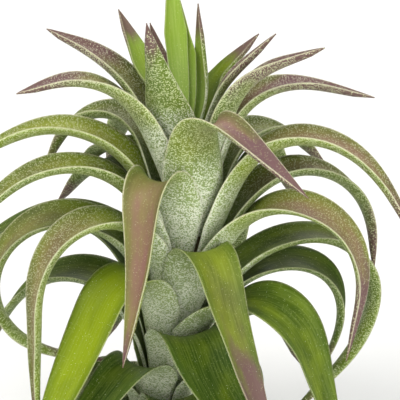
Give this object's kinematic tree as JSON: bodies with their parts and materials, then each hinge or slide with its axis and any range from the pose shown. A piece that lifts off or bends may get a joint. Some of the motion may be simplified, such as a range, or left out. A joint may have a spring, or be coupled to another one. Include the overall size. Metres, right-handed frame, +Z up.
{
  "type": "sky plant",
  "caption": "Sky plant, an air plant with a tall leafy stem and long channelled leaves that arch out and hang down all round it.",
  "frame": {"origin": "on the surface that the plant stands on, under the middle of its spread", "axes": "+Z up along the stem, -Y towards the viewer of the picture, +X to the viewer's right"},
  "size_m": [0.1292, 0.096, 0.1371],
  "materials": {
    "stem": "matte",
    "leaf_01": "matte, scurfy",
    "leaf_02": "matte, scurfy",
    "leaf_03": "matte, scurfy",
    "leaf_04": "matte, scurfy",
    "leaf_05": "matte, scurfy",
    "leaf_06": "matte, scurfy",
    "leaf_07": "matte, scurfy",
    "leaf_08": "matte, scurfy",
    "leaf_09": "matte, scurfy",
    "leaf_10": "matte, scurfy",
    "leaf_11": "matte, scurfy",
    "leaf_12": "matte, scurfy",
    "leaf_13": "matte, scurfy",
    "leaf_14": "matte, scurfy",
    "leaf_15": "matte, scurfy",
    "leaf_16": "matte, scurfy",
    "leaf_17": "matte, scurfy",
    "leaf_18": "matte, scurfy",
    "leaf_19": "matte, scurfy",
    "leaf_20": "matte, scurfy",
    "leaf_21": "matte, scurfy",
    "leaf_22": "matte, scurfy",
    "leaf_23": "matte, scurfy",
    "leaf_24": "matte, scurfy",
    "leaf_25": "matte, scurfy",
    "leaf_26": "matte, scurfy",
    "leaf_27": "matte, scurfy",
    "leaf_28": "matte, scurfy",
    "leaf_29": "matte, scurfy",
    "leaf_30": "matte, scurfy",
    "leaf_31": "matte, scurfy",
    "leaf_32": "matte, scurfy",
    "leaf_33": "matte, scurfy",
    "leaf_34": "matte, scurfy",
    "leaf_35": "matte, scurfy",
    "leaf_36": "matte, scurfy",
    "leaf_37": "matte, scurfy",
    "leaf_38": "matte, scurfy",
    "leaf_39": "matte, scurfy",
    "leaf_40": "matte, scurfy",
    "leaf_41": "matte, scurfy",
    "leaf_42": "matte, scurfy",
    "leaf_43": "matte, scurfy",
    "leaf_44": "matte, scurfy",
    "leaf_45": "matte, scurfy",
    "leaf_46": "matte, scurfy",
    "leaf_47": "matte, scurfy",
    "leaf_48": "matte, scurfy",
    "leaf_49": "matte, scurfy",
    "leaf_50": "matte, scurfy"
  },
  "bodies": {
    "root": {"stem": "stem", "leaf_01": "leaf_01", "leaf_02": "leaf_02", "leaf_03": "leaf_03", "leaf_04": "leaf_04", "leaf_05": "leaf_05", "leaf_06": "leaf_06", "leaf_07": "leaf_07", "leaf_08": "leaf_08", "leaf_09": "leaf_09", "leaf_10": "leaf_10", "leaf_11": "leaf_11", "leaf_12": "leaf_12", "leaf_13": "leaf_13", "leaf_14": "leaf_14", "leaf_15": "leaf_15", "leaf_16": "leaf_16", "leaf_17": "leaf_17", "leaf_18": "leaf_18", "leaf_19": "leaf_19", "leaf_20": "leaf_20", "leaf_21": "leaf_21", "leaf_22": "leaf_22", "leaf_23": "leaf_23", "leaf_24": "leaf_24", "leaf_25": "leaf_25", "leaf_26": "leaf_26", "leaf_27": "leaf_27", "leaf_28": "leaf_28", "leaf_29": "leaf_29", "leaf_30": "leaf_30", "leaf_31": "leaf_31", "leaf_32": "leaf_32", "leaf_33": "leaf_33", "leaf_34": "leaf_34", "leaf_35": "leaf_35", "leaf_36": "leaf_36", "leaf_37": "leaf_37", "leaf_38": "leaf_38", "leaf_39": "leaf_39", "leaf_40": "leaf_40", "leaf_41": "leaf_41", "leaf_42": "leaf_42", "leaf_43": "leaf_43", "leaf_44": "leaf_44", "leaf_45": "leaf_45", "leaf_46": "leaf_46", "leaf_47": "leaf_47", "leaf_48": "leaf_48", "leaf_49": "leaf_49", "leaf_50": "leaf_50"}
  },
  "joints": []
}
